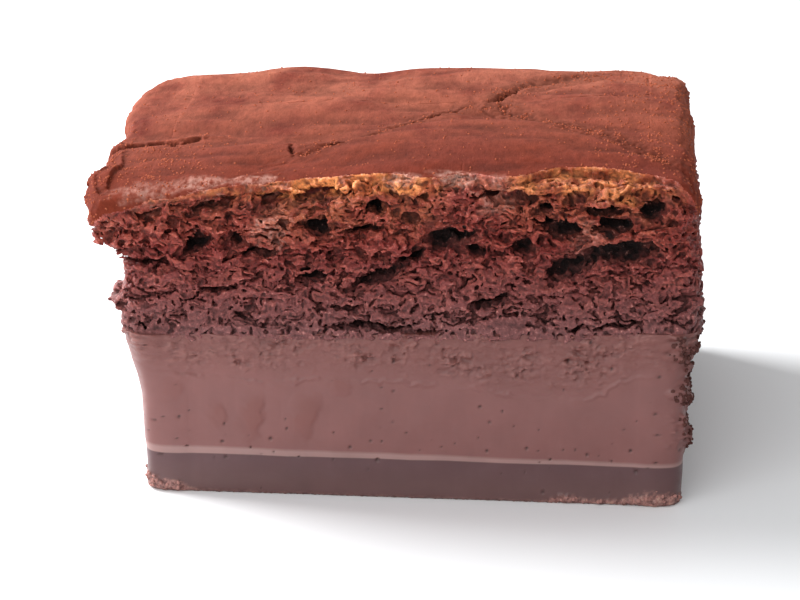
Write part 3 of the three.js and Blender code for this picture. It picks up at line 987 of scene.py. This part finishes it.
    # Meshed, and freed from loose flecks
    size = add(vectorNode, [given["High Corner"], given["Low Corner"]], operation="SUBTRACT")
    finer = add("DIVIDE", [1.0, given["Voxel"]])
    voxels = add(vectorNode, {0: size, "Scale": finer}, operation="SCALE")
    counts = add(splitNode, [voxels]).outputs
    density = add("MINIMUM", [add("MAXIMUM", [add("ADD", [body, 1.0]), 0.0]), 2.0])
    grid = {"Density": density, "Min": given["Low Corner"], "Max": given["High Corner"]}
    grid.update({"Resolution " + axis: count for axis, count in zip("XYZ", counts)})
    volume = add("GeometryNodeVolumeCube", grid)
    meshed = {"Volume": volume, "Threshold": 1.0, "Adaptivity": given["Merging"]}
    mesh = add("GeometryNodeVolumeToMesh", meshed)
    members = {"Value": 1.0, "Group Index": add("GeometryNodeInputMeshIsland").outputs["Island Index"]}
    share = add("GeometryNodeAccumulateField", members, domain="POINT").outputs["Total"]
    most = add("GeometryNodeAttributeStatistic", {"Geometry": mesh, "Attribute": share}).outputs["Max"]
    loose = add("FunctionNodeCompare", [share, add("MULTIPLY", [most, 0.5])], operation="LESS_THAN")
    mesh = add("GeometryNodeDeleteGeometry", {"Geometry": mesh, "Selection": loose})

    # What the materials need to know about each place
    # How far a place lies in a dent or on a bump, for painted shade and light
    place = add("GeometryNodeInputPosition")
    around = add("GeometryNodeBlurAttribute", {"Value": place, "Iterations": 4}, data_type="FLOAT_VECTOR")
    around = add(vectorNode, [around, place], operation="SUBTRACT")
    dented = add(vectorNode, [around, normal], operation="DOT_PRODUCT").outputs["Value"]
    dented = add("DIVIDE", [dented, add("MULTIPLY", [given["Voxel"], 0.55])])
    dented = add(rangeNode, [dented, -1.0, 1.0])
    # Painted shade: how far down a hole a place lies, for darker colour there
    hollow = add(rangeNode, [depth, 0.9, 3.4])
    dense = add(rangeNode, [level, 10.5, 0.5])
    crease = add(rangeNode, [grooves[0], 3.0, 0.4])
    # Painted shade: the slits of the crust are marked for near-black colour
    crack = add(rangeNode, [grooves[1], 0.6, 0.25])
    bare = add(rangeNode, [edge, 0.5, 0.0])
    reached = add("MULTIPLY_ADD", [frayed, 1.2, drop])
    allowed = alongCurve(add, spotX, goldReach, 0, 3)
    reached = add("SUBTRACT", [reached, allowed])
    shallow = add(rangeNode, [reached, 0.5, -0.3])
    warm = add(rangeNode, [reached, 6.0, 0.0, 0, 0.3])
    shallow = add("MAXIMUM", [shallow, warm])
    atFront = alongCurve(add, spotX, frontGold, 0, 1)
    golden = add("ShaderNodeMix", {0: facingFront, 2: 0.45, 3: atFront}, data_type="FLOAT")
    golden = add("MULTIPLY", [add("MULTIPLY", [golden, bare]), shallow])
    onTop = add(rangeNode, [surface, 0.5, 0.34])
    skinned = add(rangeNode, [edge, 0.05, 0.2])
    cocoa = add("MULTIPLY", [onTop, skinned])
    clear = add("SUBTRACT", [1.0, hollow])
    film = add("MULTIPLY", [film, clear])
    marks = {"dented": dented, "hollow": hollow, "dense": dense, "golden": golden, "film": film}
    marks.update({"crease": crease, "crack": crack, "cocoa": cocoa})
    mesh = leaveMarks(add, mesh, marks)
    dusted = add("FunctionNodeCompare", [readMarks(add, ("cocoa",))["cocoa"], 0.5], operation="GREATER_THAN")
    endTree(add, mesh, (tornCrumb, True), (cocoaCrust, dusted))
    return tree


tornSponge = spongeTree()
spongePieces = []
for name, (low, high, voxel) in slabPlan().items():
    values = {
        "Outer": outerGuide,
        "Walls": wallGuide,
        "Rim": rimLine,
        "Folds": foldLines,
        "Slits": slitLines,
        "Low Corner": low,
        "High Corner": high,
        "Voxel": voxel * 1,
        "Merging": slabs["crustMerging" if name == "sponge_top_front" else "merging"],
        "Bottom": lows["sponge_layer"].z - slabs["sunk"],
    }
    piece = growMesh(newObject(name, bpy.data.meshes.new(name)), tornSponge, values)
    spongePieces.append(finished(piece, sharpFrom=70))


# The inputs for how large scattered lumps are
def sizeSockets(bits):
    least, largest = bits["radius"]
    return {"Least": ("Float", least), "Largest": ("Float", largest)}


# Scatters low lumps over a surface that is given in millimetres, half sunk into it, and ends the tree
def scatterLumps(add, surface, density, given):
    points = add("GeometryNodeDistributePointsOnFaces", {"Mesh": surface, "Density": density, "Seed": 4})
    lump = add("GeometryNodeMeshIcoSphere", {"Radius": 1.0, "Subdivisions": 1})
    turn = add("FunctionNodeRandomValue", {0: (0, 0, 0), 1: (6, 6, 6), "Seed": 5}, data_type="FLOAT_VECTOR")
    size = {2: given["Least"], 3: given["Largest"], "Seed": 6}
    size = add("FunctionNodeRandomValue", size, data_type="FLOAT").outputs[1]
    flat = add(vectorNode, {0: (1, 1, 0.6), "Scale": size}, operation="SCALE")
    placed = {"Points": points, "Instance": lump, "Rotation": turn, "Scale": flat}
    endTree(add, add("GeometryNodeInstanceOnPoints", placed), (given["Finish"], True))


# Powder that has balled into granules: thick along the folds, over the left corner and at the right edge
powder = {
    "radius": (0.08, 0.2),
    "sparse": 0.3,  # per square millimetre
    "alongFolds": 5.0,
    "leftCorner": 2.6,
    "rightEdge": 2.4,
}


def powderTree():
    tree, add, given = newTree("cocoaGranules", {"Finish": ("Material", None), **sizeSockets(powder)})
    crustParts = add("GeometryNodeJoinGeometry")
    for piece in spongePieces:
        info = add(infoNode, {"Object": piece})
        tree.links.new(info.outputs["Geometry"], crustParts.inputs[0])
    surface = add(changeNode, {"Geometry": crustParts, "Scale": (1 / mm,) * 3})
    here = add("GeometryNodeInputPosition")
    spotX, spotY, _ = add(splitNode, [here]).outputs
    marks = readMarks(add, ("crease", "cocoa"))
    front = add(rangeNode, [spotY, -4, -14])
    left = add(rangeNode, [spotX, -20, -28])
    right = add(rangeNode, [spotX, 20, 30])
    folded = add("POWER", [marks["crease"], 2.5])
    density = add("MULTIPLY_ADD", [folded, powder["alongFolds"], powder["sparse"]])
    left = add("MULTIPLY", [left, front])
    density = add("MULTIPLY_ADD", [left, powder["leftCorner"], density])
    density = add("MULTIPLY_ADD", [right, powder["rightEdge"], density])
    clumps = add(rangeNode, [add(noiseNode, {"Vector": here, "Scale": 0.5, "Detail": 3}), 0.42, 0.6])
    density = add("MULTIPLY", [add("MULTIPLY", [density, clumps]), marks["cocoa"]])
    scatterLumps(add, surface, density, given)
    return tree


granules = newObject("cocoa_granules", bpy.data.meshes.new("cocoa_granules"))
spongePieces.append(finished(growMesh(granules, powderTree(), {"Finish": balledCocoa})))

# The knife-cut walls of base, seam and custard: rows of each, and how far their relief goes
cutFace = {
    "rows": (22, 5, 88),
    "waves": 0.4,  # slow unevenness of the cut
    "streaks": 0.07,  # drag of the knife
    "mottle": 0.8,  # roughness towards the sponge
    "lumps": 0.24,  # small lumps and dents there
    "lumpCells": (1.4, 0.8, 0.5),  # and how wide they are
    "squareness": 2.2,  # how far the corners are drawn out to a sharper edge
    "recess": 0.06,  # the rough part lies behind the smooth one
    "ridge": 0.16,  # smear along the border between them
    "sideRough": 0.9,  # unevenness of the right side, which was not cut clean
    "sideClumps": 0.8,  # how far its clumps of crumbs stand out
    "roundFoot": 0.3,
    "crumble": 1.7,  # bits along the bottom edge
    "leftFlare": 0.45,  # how far the custard leans out to the left, right under the sponge
}
# Where the smooth part of the custard gives way to the rough one, across the front
roughBorder = [
    (-32, 16.0), (-26, 14.6), (-20, 14.2), (-14, 13.8), (-8, 14.4), (0, 14.4), (4, 14.2), (9, 13.8), (14, 13),
    (20, 12.8), (24, 13.6), (27, 15.4), (34, 16.2),
]
# How high the bottom edge is crumbly, across the front
crumblyFoot = [
    (-36, 0.3), (-32, 1.6), (-31, 2), (-27, 1.8), (-24.5, 1.1), (-21, 0.25), (-10, 0.2), (14, 0.2), (18, 0.5),
    (20, 1.1), (23, 0.7), (26, 0.8), (28, 1.5), (31, 1.7), (36, 0.3),
]
# Soft lobes that the knife dragged over the custard: middle, half sizes, lean in degrees and rise
dragLobes = table("x z long high lean rise", [
    (-20.6, 9.8, 1.5, 2.2, 8, 0.14), (-16.6, 9.6, 2.0, 4.0, 6, 0.18), (-10.4, 9.9, 2.2, 3.8, 16, 0.15),
    (-6.2, 13.8, 1.8, 1.6, 30, 0.1), (-25.6, 12.4, 1.4, 2.6, 14, 0.09),
])
# Small open bubbles of the cut faces: cell width, radius, share of cells that have one, and depth
pits = table("cell radius share deep", [
    (2.5, 0.25, 0.45, 0.26), (1.4, 0.16, 0.28, 0.16),
])


# The walls as rows of points, with the same points where one layer meets the next, and their ways out
def wallGrid():
    rowHeights = []
    for column in columns:
        levels = [0]
        for heightAt in loopHeights:
            z = levels[-1] + 1
            for _ in range(4):  # the height and the place on the wall settle together
                reach = wallReach(column, z)
                z = heightAt(column[0][0] + column[1].x * reach, column[0][1] + column[1].y * reach)
            levels.append(z)
        heights = [0]
        for low, high, count in zip(levels, levels[1:], cutFace["rows"]):
            heights += [low + (high - low) * (i + 1) / count for i in range(count)]
        rowHeights.append((heights, levels))
    width = 2 * rays["smooth"] + 1
    power = 6  # of the rounded square that sharpens the corners
    grid = []
    for row in range(len(rowHeights[0][0])):
        reaches = [wallReach(column, heights[row]) for column, (heights, _) in zip(columns, rowHeights)]
        reaches = reaches[-rays["smooth"] :] + reaches + reaches[: rays["smooth"]]
        total = sum(reaches[:width])
        points = []
        for i, (column, (heights, levels)) in enumerate(zip(columns, rowHeights)):
            way = column[1]
            corner = (abs(way.x) ** power + abs(way.y) ** power) ** (-1 / power) - 1
            reach = total / width + cutFace["squareness"] * corner
            place = Vector((*column[0], heights[row])) + way * reach
            points.append(place)
            if i + width < len(reaches):
                total += reaches[i + width] - reaches[i]
        grid.append(points)
    return grid, [levels for _, levels in rowHeights]


# A layer as a closed mesh in millimetres, with what its relief and its material need to know
def layerMesh(name, firstRow, lastRow):
    rows = wallRows[firstRow : lastRow + 1]
    count = len(columns)
    points = [point for row in rows for point in row]
    faces = []
    for r in range(len(rows) - 1):
        for c in range(count):
            a, b = r * count + c, r * count + (c + 1) % count
            faces.append((a, b, b + count, a + count))
    top = (len(rows) - 1) * count
    low, high = len(points), len(points) + 1
    for c in range(count):
        faces.append((low, (c + 1) % count, c))
        faces.append((high, top + c, top + (c + 1) % count))
    for row in (rows[0], rows[-1]):
        points.append(sum(row, Vector()) / count)
    mesh = bpy.data.meshes.new(name)
    mesh.from_pydata(points, [], faces)
    outward, marks = [], {"along": [], "held": [], "aboveBase": [], "aboveSeam": [], "underSponge": []}
    for row in rows:
        for c, point in enumerate(row):
            step = row[(c + 1) % count] - row[c - 1]
            outward.extend(Vector((step.y, -step.x, 0)).normalized())
            levels = wallLevels[c]
            values = (columns[c][2], 1, point.z - levels[1], point.z - levels[2], levels[3] - point.z)
            for key, value in zip(marks, values):
                marks[key].append(value)
    outward.extend([0.0] * 6)
    mesh.attributes.new("outward", "FLOAT_VECTOR", "POINT").data.foreach_set("vector", outward)
    for key, values in marks.items():
        mesh.attributes.new(key, "FLOAT", "POINT").data.foreach_set("value", values + [0.0, 0.0])
    return mesh


# Relief of a knife-cut face, the same field for all three layers, so that they stay together
def cutReliefTree():
    amounts = {"Waves": "waves", "Streaks": "streaks", "Mottle": "mottle", "Recess": "recess"}
    amounts.update({"Ridge": "ridge", "Lumps": "lumps", "Side Rough": "sideRough"})
    amounts.update({"Side Clumps": "sideClumps", "Left Flare": "leftFlare", "Round Foot": "roundFoot"})
    amounts["Crumble"] = "crumble"
    sockets = {label: ("Float", cutFace[key]) for label, key in amounts.items()}
    tree, add, given = newTree("knifeCutRelief", {"Finish": ("Material", None), **sockets})
    marks = readMarks(add, ("along", "held", "aboveBase", "aboveSeam", "underSponge"))
    outward = add("GeometryNodeInputNamedAttribute", {"Name": "outward"}, data_type="FLOAT_VECTOR")
    here = add("GeometryNodeInputPosition")
    spotZ = add(splitNode, [here]).outputs[2]
    unrolled = add(joinNode, {0: marks["along"], 1: spotZ})

    border = alongCurve(add, marks["along"], roughBorder, 10, 20)
    frayed = add(noiseNode, {"Vector": here, "Scale": 0.7, "Detail": 4})
    border = add("MULTIPLY_ADD", [frayed, 1.8, border])
    overBorder = add("ADD", [add("SUBTRACT", [spotZ, border]), 0.9])
    upper = add(rangeNode, [overBorder, -0.2, 3.0], **soft)

    waves = add("SUBTRACT", [add(noiseNode, {"Vector": here, "Scale": 0.13, "Detail": 2}), 0.5])
    relief = add("MULTIPLY", [waves, given["Waves"]])
    streaks = add(vectorNode, [unrolled, (0.9, 0.09, 0)], operation="MULTIPLY")
    streaks = add("SUBTRACT", [add(noiseNode, {"Vector": streaks, "Scale": 1.0, "Detail": 3}), 0.5])
    relief = add("MULTIPLY_ADD", [streaks, given["Streaks"], relief])

    slow = add(noiseNode, {"Vector": here, "Scale": 0.5, "Detail": 2})
    softShift = add(vectorNode, [slow.outputs["Color"], noiseMiddle], operation="SUBTRACT")
    softPlace = add(vectorNode, [softShift, (2.2, 2.6, 0), unrolled], operation="MULTIPLY_ADD")
    lobed = 0.0
    for lobe in dragLobes:
        middle, halves = (lobe["x"], lobe["z"], 0), (lobe["long"], lobe["high"], 1)
        scaled, reach = inEllipsoid(add, softPlace, middle, halves, "Z_AXIS", lobe["lean"])
        rightward = add(splitNode, [scaled])
        start = add(rangeNode, [rightward, -0.4, 0.6, 0.0, 0.6])
        lobeRise = add(rangeNode, [reach, start, 1.0, lobe["rise"], 0], **soft)
        relief = add("ADD", [relief, lobeRise])
        lobed = add("MULTIPLY_ADD", [lobeRise, 3.4, lobed])

    # The rough part comes in patches
    patchy = add(noiseNode, {"Vector": here, "Scale": 0.34, "Detail": 3, "Roughness": 0.55})
    patchy = add(rangeNode, [patchy, 0.44, 0.58, 0.2])
    flattened = add(vectorNode, [here, (0.9, 0.9, 1.9)], operation="MULTIPLY")
    mottle = add(noiseNode, {"Vector": flattened, "Scale": 0.9, "Detail": 5, "Roughness": 0.62})
    mottle = add("MULTIPLY", [add("SUBTRACT", [mottle, 0.5]), given["Mottle"]])
    mottle = add("MULTIPLY", [mottle, patchy])
    relief = add("MULTIPLY_ADD", [mottle, upper, relief])
    step = add("MULTIPLY", [add(rangeNode, [overBorder, 0.0, 0.4]), given["Recess"]])
    relief = add("SUBTRACT", [relief, step])
    ridge = add(rangeNode, [add("ABSOLUTE", [overBorder]), 0.0, 0.28, 1, 0])
    gate = add(rangeNode, [add(noiseNode, {"Vector": here, "Scale": 0.22, "Detail": 1}), 0.46, 0.56])
    ridge = add("MULTIPLY", [ridge, gate])
    relief = add("MULTIPLY_ADD", [ridge, given["Ridge"], relief])

    # Pits: many just over the seam and at the top of the base, few elsewhere
    # Painted shade: the pits are marked for darker colour
    pitShade = 0.0
    low = add(rangeNode, [marks["aboveSeam"], 5.5, 0.3, 0.25])
    inBase = add(rangeNode, [add("ABSOLUTE", [marks["aboveBase"]]), 1.3, 0.3, 0.15])
    isBase = add("LESS_THAN", [marks["aboveBase"], 0.0])
    often = add("ShaderNodeMix", {0: isBase, 2: low, 3: inBase}, data_type="FLOAT")
    for pit in pits:
        cells = add(cellNode, {"Vector": unrolled, "Scale": 1 / pit["cell"]}, voronoi_dimensions="2D")
        pick = add("FunctionNodeSeparateColor", [cells.outputs["Color"]]).outputs
        chosen = add("LESS_THAN", [pick[0], add("MULTIPLY", [often, pit["share"]])])
        radius = add("MULTIPLY_ADD", [pick[1], pit["radius"] * 0.7, pit["radius"] * 0.5])
        distance = add("MULTIPLY", [cells.outputs["Distance"], pit["cell"]])
        inner = add("MULTIPLY", [radius, 0.35])
        hole = add(rangeNode, [distance, radius, inner], **soft)
        hole = add("MULTIPLY", [hole, chosen])
        pitShade = add("MAXIMUM", [hole, pitShade])
        relief = add("MULTIPLY_ADD", [hole, -pit["deep"], relief])
    highlightShare = 0.0
    stretched = add(vectorNode, [unrolled, (1, 1.8, 0)], operation="MULTIPLY")
    stretched = add(vectorNode, [softShift, (2.4, 2.4, 0), stretched], operation="MULTIPLY_ADD")
    for cell in cutFace["lumpCells"]:
        cells = add(cellNode, {"Vector": stretched, "Scale": 1 / cell}, voronoi_dimensions="2D")
        pick = add("FunctionNodeSeparateColor", [cells.outputs["Color"]])
        shape = add(rangeNode, [cells.outputs["Distance"], 0.6, 0.15], **soft)
        shape = add("MULTIPLY", [add("MULTIPLY", [shape, upper]), patchy])
        bump = add(rangeNode, [pick, 0.55, 0.9])
        dent = add(rangeNode, [pick, 0.4, 0.1])
        lumpy = add("MULTIPLY", [add("SUBTRACT", [bump, dent]), given["Lumps"]])
        lumpy = add("MULTIPLY", [lumpy, math.sqrt(cell)])
        relief = add("MULTIPLY_ADD", [lumpy, shape, relief])
        # Painted highlights on the lumps' tops, and painted shade in their dents
        light = add("MULTIPLY", [add("MULTIPLY", [bump, shape]), 0.45])
        highlightShare = add("MAXIMUM", [light, highlightShare])
        dark = add("MULTIPLY", [add("MULTIPLY", [dent, shape]), 0.28])
        pitShade = add("MAXIMUM", [dark, pitShade])

    spotX = add(splitNode, [here])
    onRight = add(rangeNode, [spotX, foot["right"] - 2.2, foot["right"] - 1])
    overSeam = add(rangeNode, [marks["aboveSeam"], 0.0, 2.0])
    onRight = add("MULTIPLY", [onRight, overSeam])
    uneven = add(noiseNode, {"Vector": here, "Scale": 0.5, "Detail": 5, "Roughness": 0.65})
    uneven = add("MULTIPLY", [add("SUBTRACT", [uneven, 0.5]), given["Side Rough"]])
    relief = add("MULTIPLY_ADD", [uneven, onRight, relief])
    clumps = add(noiseNode, {"Vector": here, "Scale": 0.4, "Detail": 4, "Roughness": 0.6})
    clumps = add("MULTIPLY", [add(rangeNode, [clumps, 0.5, 0.6]), onRight])
    relief = add("MULTIPLY_ADD", [clumps, given["Side Clumps"], relief])
    onLeft = add(rangeNode, [spotX, foot["left"] + 2.5, foot["left"] + 0.5])
    flare = add("MULTIPLY", [add(rangeNode, [marks["underSponge"], 5.5, 1.5]), onLeft])
    relief = add("MULTIPLY_ADD", [flare, given["Left Flare"], relief])

    # The foot: a rounded edge, and browned bits that crumble at the corners
    foldIn = add("POWER", [add(rangeNode, [spotZ, 0.5, 0.0]), 2.0])
    foldIn = add("MULTIPLY", [foldIn, given["Round Foot"]])
    relief = add("SUBTRACT", [relief, foldIn])
    bits = add(noiseNode, {"Vector": here, "Scale": 1.5, "Detail": 5, "Roughness": 0.75})
    crumbly = alongCurve(add, marks["along"], crumblyFoot, 0, 2)
    reach = add("MULTIPLY", [crumbly, add("MULTIPLY", [bits, 2.0])])
    loose = add(rangeNode, [add("SUBTRACT", [reach, spotZ]), -0.05, 0.35])
    lumps = add("MULTIPLY", [add("SUBTRACT", [bits, 0.46]), given["Crumble"]])
    lumps = add("MULTIPLY", [lumps, loose])
    relief = add("ADD", [relief, lumps])
    edgeSkin = add("MULTIPLY", [add(rangeNode, [spotZ, 0.5, 0.15]), 0.35])
    loose = add("MULTIPLY", [loose, 0.85])
    browned = add("MAXIMUM", [edgeSkin, loose])

    relief = add("MULTIPLY", [relief, marks["held"]])
    shift = add(vectorNode, {0: outward, "Scale": relief}, operation="SCALE")
    lobed = add("MINIMUM", [lobed, 1.0])
    marked = {"upper": upper, "lobe": lobed, "pit": pitShade, "raised": highlightShare, "browned": browned}
    marked["clumped"] = clumps
    mesh = leaveMarks(add, given["Geometry"], marked)
    mesh = add("GeometryNodeSetPosition", {"Geometry": mesh, "Offset": shift})
    endTree(add, mesh, (given["Finish"], True))
    return tree


wallRows, wallLevels = wallGrid()
print("walls:", len(wallRows), "rows of", len(columns), "points")
cutRelief = cutReliefTree()
cutLayers = {
    "flan_base_cut": {"node": "base_layer", "slot": "flan_base", "finish": flanBase},
    "pale_seam_cut": {"node": "pale_seam", "slot": "pale_seam", "finish": paleSeam},
    "custard_cut": {"node": "custard_layer", "slot": "custard", "finish": setCustard},
}
firstRow = 0
for (name, layer), rowCount in zip(cutLayers.items(), cutFace["rows"]):
    piece = newObject(name, layerMesh(name, firstRow, firstRow + rowCount))
    firstRow += rowCount
    layer["piece"] = finished(growMesh(piece, cutRelief, {"Finish": layer["finish"]}), sharpFrom=75)

# Bits that hang on the bottom edge and down the right side: where they lie thick, and how high they start
bitKeys = "on where finish radius density from"
footBits = ("flan_base_cut", "browned", footCrumb, (0.12, 0.34), 2.4, 0.25)
sideBits = ("custard_cut", "clumped", sideCrumb, (0.12, 0.36), 5.0, 6.0)
hangingBits = dict(zip(("foot_crumbs", "side_crumbs"), table(bitKeys, [footBits, sideBits])))


def hangingTree(name, bits):
    sockets = {"Finish": ("Material", None), "Cut Face": ("Object", None), **sizeSockets(bits)}
    tree, add, given = newTree(name, sockets)
    info = add(infoNode, {"Object": given["Cut Face"]})
    surface = add(changeNode, {"Geometry": info.outputs["Geometry"], "Scale": (1 / mm,) * 3})
    mark = add("GeometryNodeInputNamedAttribute", {"Name": bits["where"]}, data_type="FLOAT")
    share = add(rangeNode, [mark, 0.38, 0.6])
    density = add("MULTIPLY", [share, bits["density"]])
    here = add("GeometryNodeInputPosition")
    high = add("GREATER_THAN", [add(splitNode, [here]).outputs[2], bits["from"]])
    density = add("MULTIPLY", [density, high])
    scatterLumps(add, surface, density, given)
    return tree


for name, bits in hangingBits.items():
    layer = cutLayers[bits["on"]]
    piece = newObject(name, bpy.data.meshes.new(name))
    growMesh(piece, hangingTree(name, bits), {"Cut Face": layer["piece"], "Finish": bits["finish"]})
    cutLayers[name] = {"node": layer["node"], "slot": layer["slot"], "piece": finished(piece)}

for helper in (foldLines, slitLines, rimLine, outerGuide, wallGuide):
    bpy.data.objects.remove(helper)


# The floor: half its width, and how far it lies under the cake
stage = {"half": 900, "under": 0.05, "colour": "#eef0f2", "roughness": 0.5}


def makeStage():
    mesh = bpy.data.meshes.new("floor")
    half = stage["half"] * mm
    corners = [(-half, -half, 0), (half, -half, 0), (half, half, 0), (-half, half, 0)]
    mesh.from_pydata(corners, [], [(0, 1, 2, 3)])
    floor = newObject("floor", mesh)
    material, add, _ = newMaterial("paleFloor")
    shade(add, {"Base Color": linearColour(stage["colour"]), "Roughness": stage["roughness"]})
    mesh.materials.append(material)
    floor.location.z = -stage["under"] * mm


# The lamps, in millimetres and watts, and the place they aim at
lights = {
    "key": {"from": (-300, 130, 230), "size": 260, "power": 4.0},
    "fill": {"from": (-160, -420, 260), "size": 420, "power": 1.6},
}
lampAim = (0, 0, 20)
worldStrength = 0.57


def makeLights():
    for name, light in lights.items():
        lamp = bpy.data.lights.new(name, "AREA")
        lamp.size = light["size"] * mm
        lamp.energy = light["power"]
        place = bpy.data.objects.new(name, lamp)
        place.location = Vector(light["from"]) * mm
        aim = Vector(lampAim) * mm - place.location
        place.rotation_euler = aim.to_track_quat("-Z", "Y").to_euler()
        scene.collection.objects.link(place)
    world = bpy.data.worlds.new("studio")
    world.use_nodes = True
    sky = world.node_tree.nodes["Background"].inputs
    sky["Color"].default_value = (1, 1, 1, 1)
    sky["Strength"].default_value = worldStrength
    scene.world = world
    scene.view_settings.view_transform = "Standard"


# The camera: how far round and up it stands and how it leans, in degrees, how far away, its lens, and
# where it aims on the front face
view = {"azimuth": 3.7, "elevation": 17.2, "roll": 0.6, "distance": 383, "lens": 150.7, "x": 0.7, "z": 24.2}


def makeCamera():
    azimuth, elevation, roll = (math.radians(view[key]) for key in ("azimuth", "elevation", "roll"))
    flat = math.cos(elevation)
    back = Vector((math.sin(azimuth) * flat, -math.cos(azimuth) * flat, math.sin(elevation)))
    level = Vector((0, 0, 1)).cross(back).normalized()
    upright = back.cross(level)
    right = level * math.cos(roll) + upright * math.sin(roll)
    up = upright * math.cos(roll) - level * math.sin(roll)
    target = Vector((view["x"], foot["front"], view["z"]))
    turn = Matrix((right, up, back)).transposed().to_4x4()
    lens = bpy.data.cameras.new("camera")
    lens.lens = view["lens"]
    lens.clip_start = 10 * mm
    camera = bpy.data.objects.new("camera", lens)
    camera.matrix_world = Matrix.Translation((target + back * view["distance"]) * mm) @ turn
    scene.collection.objects.link(camera)
    scene.camera = camera


makeStage()
makeLights()
makeCamera()

for piece in spongePieces:
    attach(piece, "root")
    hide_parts("sponge_layer")
for layer in cutLayers.values():
    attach(layer["piece"], "root")
    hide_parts(layer["node"])
